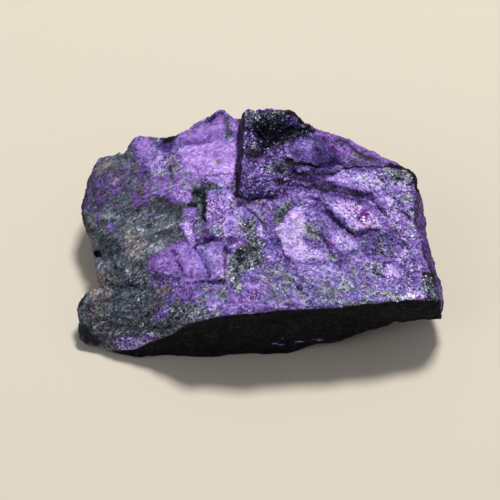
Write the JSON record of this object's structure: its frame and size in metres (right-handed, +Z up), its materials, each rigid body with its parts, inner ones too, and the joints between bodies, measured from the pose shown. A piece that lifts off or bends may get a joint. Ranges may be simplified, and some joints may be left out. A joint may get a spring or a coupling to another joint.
{
  "type": "rough purpurite specimen",
  "caption": "Broken piece of purple purpurite rock, a low wedge with a raised block at the back, lying on a small flat of its underside.",
  "frame": {"origin": "middle of the stone's bounding box, on the resting flat", "axes": "+X along the stone's length to its blunt end, +Y away from its dark front face, +Z up"},
  "size_m": [0.05, 0.0326, 0.0203],
  "materials": {
    "purple_stone": "rough broken rock, violet with grey-green and brown-black weathering and a fine glitter"
  },
  "bodies": {
    "root": {"purpurite": "purple_stone"}
  },
  "joints": []
}
